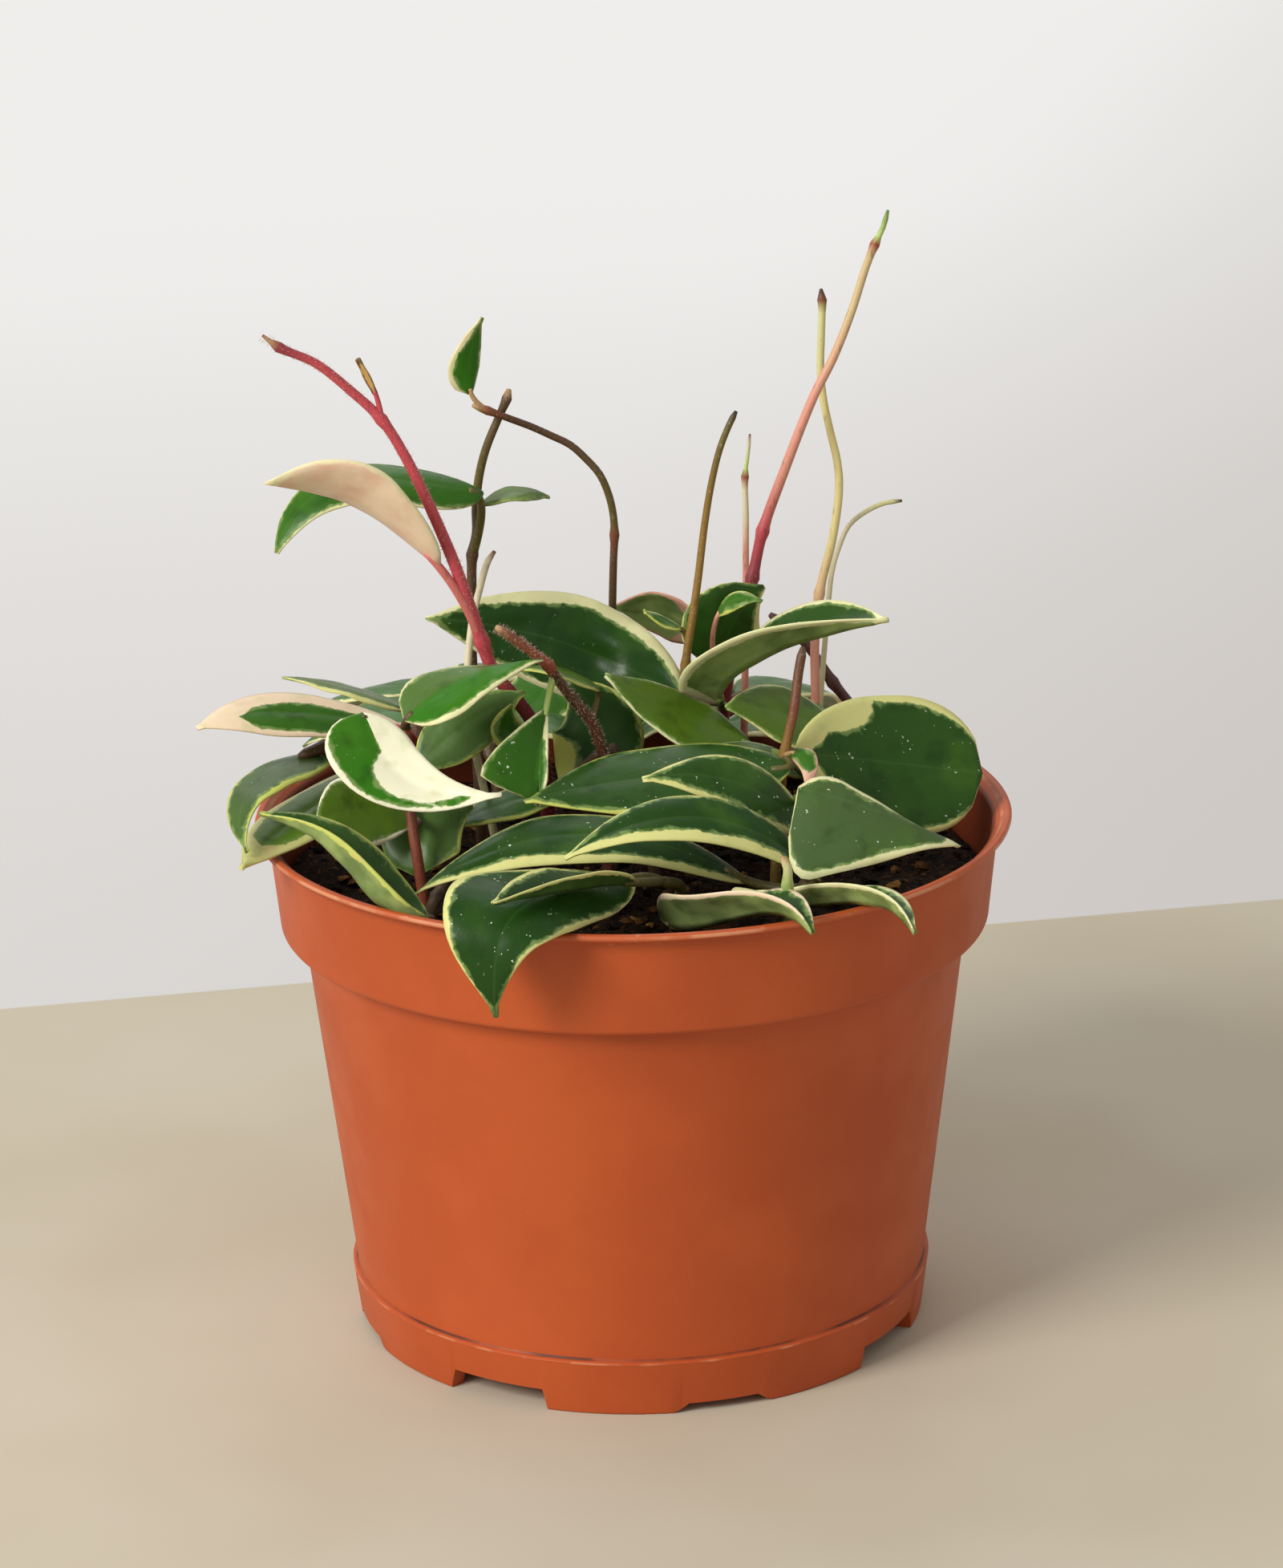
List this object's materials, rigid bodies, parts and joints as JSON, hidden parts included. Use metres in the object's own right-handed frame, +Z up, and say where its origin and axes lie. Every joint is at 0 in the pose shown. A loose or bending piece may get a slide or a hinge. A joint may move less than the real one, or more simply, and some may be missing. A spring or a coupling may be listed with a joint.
{
  "type": "potted hoya plant",
  "caption": "Variegated trailing hoya with cut vine tops, rooted in soil in a plastic nursery pot with a rolled rim and notched foot.",
  "frame": {"origin": "centre of the bounding box of pot and foliage, on the surface that the pot stands on; the pot's axis is 4.7 mm to the right and 10 mm in front of it", "axes": "+Z up along the pot's axis, -Y towards the side that the picture shows, +X to the right in it"},
  "size_m": [0.1614, 0.1888, 0.2207],
  "materials": {
    "pot_plastic": "satin terracotta plastic with worn rim",
    "soil": "dark bark and peat potting mix",
    "pink_stem_foliage": "waxy variegated leaves on pink stems",
    "brown_stem_foliage": "waxy variegated leaves on brown stems",
    "pale_stem_foliage": "waxy variegated leaves on pale green stems"
  },
  "bodies": {
    "root": {"pot": "pot_plastic", "soil": "soil", "pink_vine": "pink_stem_foliage", "dark_vine": "brown_stem_foliage", "arching_vine": "brown_stem_foliage", "pale_stub": "pale_stem_foliage", "hairy_stem": "brown_stem_foliage", "olive_stem": "brown_stem_foliage", "tall_pink_vine": "pink_stem_foliage", "pale_back_stem": "pale_stem_foliage", "pale_vine": "pale_stem_foliage", "tendril": "pale_stem_foliage", "right_stem": "brown_stem_foliage", "dark_back_vine": "brown_stem_foliage", "front_stub": "pale_stem_foliage", "left_vine": "brown_stem_foliage", "front_left_stem": "brown_stem_foliage", "centre_vine": "brown_stem_foliage", "front_vine": "brown_stem_foliage", "front_right_vine": "brown_stem_foliage", "rim_vine": "brown_stem_foliage", "back_left_vine": "brown_stem_foliage", "back_right_vine": "brown_stem_foliage"}
  },
  "joints": []
}
